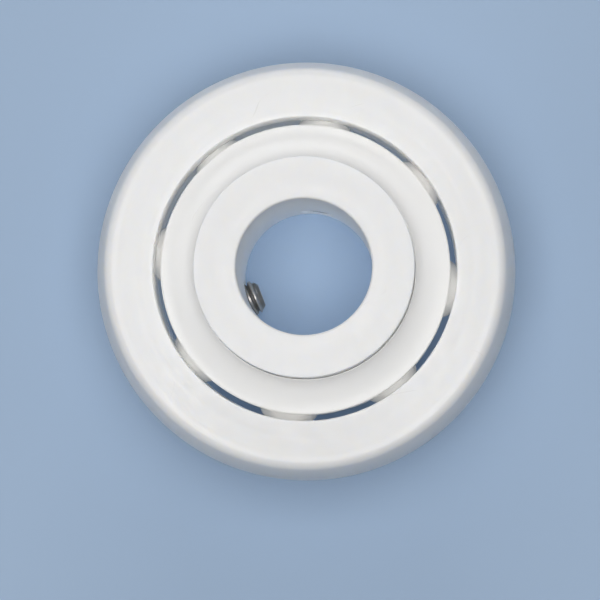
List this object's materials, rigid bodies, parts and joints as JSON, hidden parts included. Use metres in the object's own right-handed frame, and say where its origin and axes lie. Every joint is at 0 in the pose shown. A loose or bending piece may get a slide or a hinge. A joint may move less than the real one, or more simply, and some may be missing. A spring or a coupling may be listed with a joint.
{
  "type": "insert ball bearing",
  "caption": "White polymer insert ball bearing with a spherical outside, a wide inner ring, a one-piece snap cage and hexagon-socket set screws that lock it to a round shaft.",
  "frame": {"origin": "middle of the inner ring's long-side end face, on the bearing's axis, where it stands on a surface", "axes": "+Z along the bearing's axis, from the inner ring's long side with the set screws to its short side"},
  "size_m": [0.047, 0.047, 0.031],
  "materials": {
    "ring_polymer": "white acetal, fine satin turned finish",
    "cage_polymer": "white acetal, moulded, soft satin",
    "ball_ceramic": "white ceramic, lapped smooth",
    "screw_steel": "stainless steel, machined"
  },
  "bodies": {
    "outer_ring": {"outer_ring": "ring_polymer"},
    "inner_ring": {"inner_ring": "ring_polymer"},
    "cage": {"ball_cage": "cage_polymer"},
    "ball_1": {"ball_1": "ball_ceramic"},
    "ball_2": {"ball_2": "ball_ceramic"},
    "ball_3": {"ball_3": "ball_ceramic"},
    "ball_4": {"ball_4": "ball_ceramic"},
    "ball_5": {"ball_5": "ball_ceramic"},
    "ball_6": {"ball_6": "ball_ceramic"},
    "ball_7": {"ball_7": "ball_ceramic"},
    "ball_8": {"ball_8": "ball_ceramic"},
    "set_screw_1": {"set_screw_1": "screw_steel"},
    "set_screw_2": {"set_screw_2": "screw_steel"}
  },
  "joints": [
    {"name": "inner_ring_spin", "type": "hinge", "parent": "outer_ring", "child": "inner_ring", "pos_m": [0, 0, 0.0183], "axis": [0, 0, 1], "continuous": true},
    {"name": "cage_spin", "type": "hinge", "parent": "outer_ring", "child": "cage", "pos_m": [0, 0, 0.0183], "axis": [0, 0, 1], "continuous": true},
    {"name": "ball_1_roll", "type": "hinge", "parent": "cage", "child": "ball_1", "pos_m": [0.01424, -0.00177, 0.0183], "axis": [0, 0, 1], "continuous": true},
    {"name": "ball_2_roll", "type": "hinge", "parent": "cage", "child": "ball_2", "pos_m": [0.01132, 0.00881, 0.0183], "axis": [0, 0, 1], "continuous": true},
    {"name": "ball_3_roll", "type": "hinge", "parent": "cage", "child": "ball_3", "pos_m": [0.00177, 0.01424, 0.0183], "axis": [0, 0, 1], "continuous": true},
    {"name": "ball_4_roll", "type": "hinge", "parent": "cage", "child": "ball_4", "pos_m": [-0.00881, 0.01132, 0.0183], "axis": [0, 0, 1], "continuous": true},
    {"name": "ball_5_roll", "type": "hinge", "parent": "cage", "child": "ball_5", "pos_m": [-0.01424, 0.00177, 0.0183], "axis": [0, 0, 1], "continuous": true},
    {"name": "ball_6_roll", "type": "hinge", "parent": "cage", "child": "ball_6", "pos_m": [-0.01132, -0.00881, 0.0183], "axis": [0, 0, 1], "continuous": true},
    {"name": "ball_7_roll", "type": "hinge", "parent": "cage", "child": "ball_7", "pos_m": [-0.00177, -0.01424, 0.0183], "axis": [0, 0, 1], "continuous": true},
    {"name": "ball_8_roll", "type": "hinge", "parent": "cage", "child": "ball_8", "pos_m": [0.00881, -0.01132, 0.0183], "axis": [0, 0, 1], "continuous": true},
    {"name": "set_screw_1_drive", "type": "slide", "parent": "inner_ring", "child": "set_screw_1", "axis": [0.9336, 0.3584, 0], "range_m": [-0.00275, 0.00095]},
    {"name": "set_screw_2_drive", "type": "slide", "parent": "inner_ring", "child": "set_screw_2", "axis": [-0.1564, -0.9877, 0], "range_m": [-0.00105, 0.00265]}
  ],
  "couplings": [
    {"joint": "cage_spin", "follows": "inner_ring_spin", "ratio": 0.37554},
    {"joint": "ball_1_roll", "follows": "inner_ring_spin", "ratio": -1.8842},
    {"joint": "ball_2_roll", "follows": "inner_ring_spin", "ratio": -1.8842},
    {"joint": "ball_3_roll", "follows": "inner_ring_spin", "ratio": -1.8842},
    {"joint": "ball_4_roll", "follows": "inner_ring_spin", "ratio": -1.8842},
    {"joint": "ball_5_roll", "follows": "inner_ring_spin", "ratio": -1.8842},
    {"joint": "ball_6_roll", "follows": "inner_ring_spin", "ratio": -1.8842},
    {"joint": "ball_7_roll", "follows": "inner_ring_spin", "ratio": -1.8842},
    {"joint": "ball_8_roll", "follows": "inner_ring_spin", "ratio": -1.8842}
  ]
}
